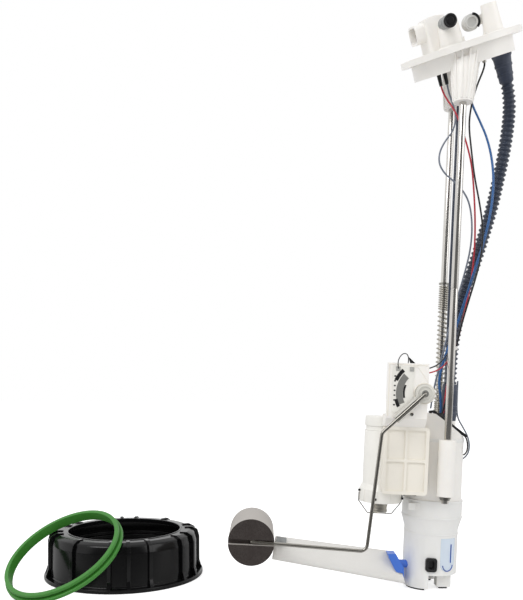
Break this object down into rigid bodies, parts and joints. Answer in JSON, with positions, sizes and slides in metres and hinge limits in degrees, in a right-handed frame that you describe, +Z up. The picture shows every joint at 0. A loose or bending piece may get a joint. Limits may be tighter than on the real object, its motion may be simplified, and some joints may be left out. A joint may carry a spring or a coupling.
{
  "type": "fuel pump module",
  "caption": "In-tank fuel pump module: reservoir with electric pump, sprung guide rods to a tank flange, level sender with float arm, strainer, lock ring and gasket.",
  "frame": {"origin": "middle of the whole set's footprint, on the floor", "axes": "+Z up, the front of the set faces -Y, the reservoir stands at +X and the lock ring lies at -X"},
  "size_m": [0.4707, 0.1918, 0.5279],
  "materials": {
    "white_plastic": "semi-gloss",
    "cream_plastic": "satin",
    "grey_plastic": "satin",
    "blue_plastic": "satin",
    "black_plastic": "gloss",
    "float_foam": "matte",
    "steel": "polished",
    "tin": "bright",
    "copper": "satin",
    "magnet": "matte",
    "carbon": "matte",
    "resin": "matte",
    "circuit_card": "satin",
    "black_rubber": "matte",
    "hose_rubber": "satin",
    "green_rubber": "matte",
    "woven_cloth": "woven",
    "filter_paper": "pleated",
    "red_sheath": "gloss",
    "blue_sheath": "gloss",
    "black_sheath": "gloss",
    "grey_sheath": "gloss",
    "white_nylon": "satin"
  },
  "bodies": {
    "reservoir": {"black_wire": "black_sheath", "blue_wires": "blue_sheath", "cable_tie": "white_nylon", "canister_cap": "white_plastic", "filter_canister": "white_plastic", "filter_element": "filter_paper", "foot_pads": "black_rubber", "hose": "hose_rubber", "inlet_valve": "black_plastic", "jet_pump": "black_plastic", "level_window": "blue_plastic", "lower_boot": "black_rubber", "pressure_regulator": "steel", "pump_base": "black_plastic", "pump_bearing_plate": "black_plastic", "pump_brushes": "carbon", "pump_cap": "black_plastic", "pump_case": "steel", "pump_cradle": "white_plastic", "pump_housing": "white_plastic", "pump_leads": "black_sheath", "pump_magnets": "magnet", "red_wire": "red_sheath", "regulator_bail": "steel", "reservoir_cup": "white_plastic", "reservoir_lid": "white_plastic", "resistor_track": "copper", "return_spring": "steel", "rod_guides": "white_plastic", "sender_card": "circuit_card", "sender_cover": "cream_plastic", "sender_leads": "black_sheath", "sender_plate": "white_plastic", "sensor_wire": "grey_sheath", "strainer_connector": "blue_plastic", "strainer_sock": "woven_cloth", "strainer_tab": "grey_plastic", "vent_tube": "hose_rubber", "wire_grommet": "black_rubber"},
    "flange": {"flange": "white_plastic", "nipple_1": "grey_plastic", "nipple_2": "white_plastic", "nipple_caps": "black_plastic", "terminal_pins": "tin", "terminal_boots": "black_rubber", "ground_terminal": "tin", "upper_boot": "black_rubber", "front_rod": "steel", "rear_rod": "steel", "rod_clips": "steel"},
    "float_arm": {"arm_holder": "grey_plastic", "float_wire": "steel", "float_body": "float_foam"},
    "rotor": {"pump_shaft": "steel", "pump_armature": "copper", "pump_commutator": "copper", "pump_impeller": "resin"},
    "lock_ring": {"lock_ring": "black_plastic"},
    "gasket": {"flange_gasket": "green_rubber"}
  },
  "joints": [
    {"name": "flange_slide", "type": "slide", "parent": "reservoir", "child": "flange", "axis": [0.0454, 0, 0.999], "range_m": [-0.05, 0], "stiffness_N_per_m": 150, "springref_m": 0.04, "deforming": ["return_spring", "hose", "blue_wires", "red_wire", "black_wire", "sensor_wire", "vent_tube"]},
    {"name": "float_arm_hinge", "type": "hinge", "parent": "reservoir", "child": "float_arm", "pos_m": [0.13986, -0.0666, 0.178], "axis": [0, 1, 0], "range_deg": [0, 78]},
    {"name": "rotor_spin", "type": "hinge", "parent": "reservoir", "child": "rotor", "pos_m": [0.15372, -0.0202, 0.06005], "axis": [0.0454, 0, 0.999], "continuous": true},
    {"name": "lock_ring_lift", "type": "slide", "parent": "reservoir", "child": "lock_ring", "axis": [0, 0, 1], "range_m": [0, 0.1]},
    {"name": "gasket_lift", "type": "slide", "parent": "lock_ring", "child": "gasket", "axis": [-0.3071, -0.4452, 0.8411], "range_m": [0, 0.08]}
  ]
}
